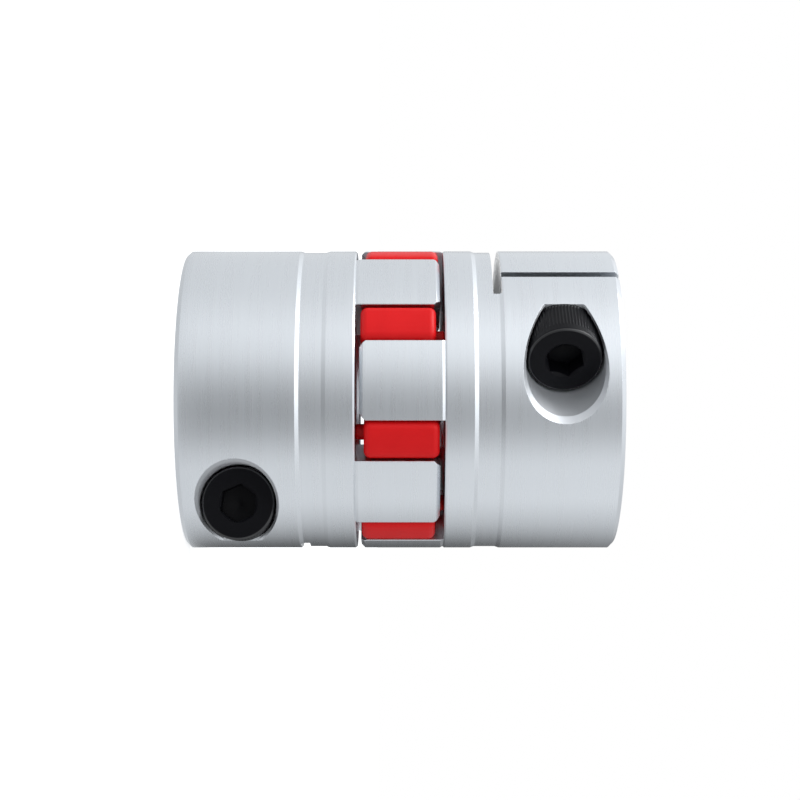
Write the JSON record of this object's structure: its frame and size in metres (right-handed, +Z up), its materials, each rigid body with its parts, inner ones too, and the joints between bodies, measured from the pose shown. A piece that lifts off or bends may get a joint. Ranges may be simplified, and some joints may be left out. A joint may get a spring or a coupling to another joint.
{
  "type": "jaw coupling",
  "caption": "Backlash-free jaw coupling: two aluminium clamping hubs with interlocking jaws round a red elastomer spider, for joining two shaft ends in line.",
  "frame": {"origin": "centre of the lower hub's end face, on the coupling's axis, on the surface that the coupling stands on", "axes": "+Z up along the coupling's axis from the lower hub to the upper hub, +X from the axis through the lower hub's clamp slit, the lower clamp screw's head faces -Y"},
  "size_m": [0.055, 0.0565, 0.078],
  "materials": {
    "hub_metal": "turned, satin, silver",
    "spider_elastomer": "smooth red polyurethane with a slight sheen",
    "screw_steel": "black oxide, oiled"
  },
  "bodies": {
    "root": {"lower_hub": "hub_metal", "upper_hub": "hub_metal", "spider": "spider_elastomer", "lower_clamp_screw": "screw_steel", "upper_clamp_screw": "screw_steel"}
  },
  "joints": []
}
